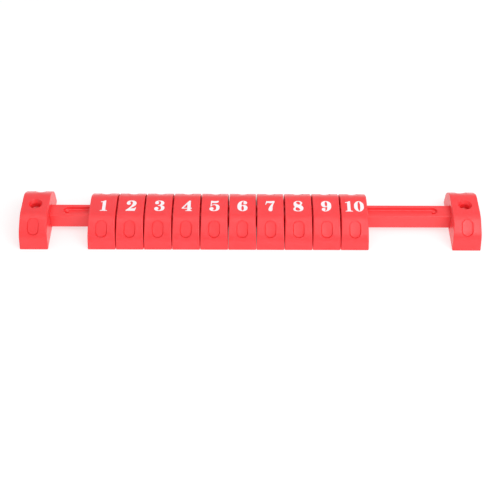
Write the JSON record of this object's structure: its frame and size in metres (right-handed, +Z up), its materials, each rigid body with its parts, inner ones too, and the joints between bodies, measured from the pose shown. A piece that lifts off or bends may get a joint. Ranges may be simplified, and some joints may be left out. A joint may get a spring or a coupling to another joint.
{
  "type": "sliding block counter",
  "caption": "Sliding block counter: numbered plastic blocks that slide along a grooved rail held between two screw-down end blocks, for keeping a score or a row count.",
  "frame": {"origin": "on the plane that the end blocks rest on, midway between the two end blocks and midway through their depth", "axes": "+X along the rail from number 1 to number 10, +Y away from the reader, +Z up through the numbered faces"},
  "size_m": [0.3, 0.0476, 0.0188],
  "materials": {
    "rail_plastic": "satin moulded red ABS",
    "end_block_plastic": "satin moulded red ABS",
    "number_block_plastic": "satin moulded red ABS",
    "numeral_ink": "white printed figures"
  },
  "bodies": {
    "rail_and_ends": {"rail": "rail_plastic", "left_end_block": "end_block_plastic", "right_end_block": "end_block_plastic"},
    "block_1": {"number_block_1": "number_block_plastic", "numeral_1": "numeral_ink"},
    "block_2": {"number_block_2": "number_block_plastic", "numeral_2": "numeral_ink"},
    "block_3": {"number_block_3": "number_block_plastic", "numeral_3": "numeral_ink"},
    "block_4": {"number_block_4": "number_block_plastic", "numeral_4": "numeral_ink"},
    "block_5": {"number_block_5": "number_block_plastic", "numeral_5": "numeral_ink"},
    "block_6": {"number_block_6": "number_block_plastic", "numeral_6": "numeral_ink"},
    "block_7": {"number_block_7": "number_block_plastic", "numeral_7": "numeral_ink"},
    "block_8": {"number_block_8": "number_block_plastic", "numeral_8": "numeral_ink"},
    "block_9": {"number_block_9": "number_block_plastic", "numeral_9": "numeral_ink"},
    "block_10": {"number_block_10": "number_block_plastic", "numeral_10_one": "numeral_ink", "numeral_10_zero": "numeral_ink"}
  },
  "joints": [
    {"name": "block_1_slide", "type": "slide", "parent": "rail_and_ends", "child": "block_1", "axis": [-1, 0, 0], "range_m": [-0.054, 0.0255]},
    {"name": "block_2_slide", "type": "slide", "parent": "block_1", "child": "block_2", "axis": [1, 0, 0], "range_m": [0, 0.0088]},
    {"name": "block_3_slide", "type": "slide", "parent": "block_2", "child": "block_3", "axis": [1, 0, 0], "range_m": [0, 0.0088]},
    {"name": "block_4_slide", "type": "slide", "parent": "block_3", "child": "block_4", "axis": [1, 0, 0], "range_m": [0, 0.0088]},
    {"name": "block_5_slide", "type": "slide", "parent": "block_4", "child": "block_5", "axis": [1, 0, 0], "range_m": [0, 0.0088]},
    {"name": "block_6_slide", "type": "slide", "parent": "block_5", "child": "block_6", "axis": [1, 0, 0], "range_m": [0, 0.0088]},
    {"name": "block_7_slide", "type": "slide", "parent": "block_6", "child": "block_7", "axis": [1, 0, 0], "range_m": [0, 0.0088]},
    {"name": "block_8_slide", "type": "slide", "parent": "block_7", "child": "block_8", "axis": [1, 0, 0], "range_m": [0, 0.0088]},
    {"name": "block_9_slide", "type": "slide", "parent": "block_8", "child": "block_9", "axis": [1, 0, 0], "range_m": [0, 0.0088]},
    {"name": "block_10_slide", "type": "slide", "parent": "block_9", "child": "block_10", "axis": [1, 0, 0], "range_m": [0, 0.0088]}
  ]
}
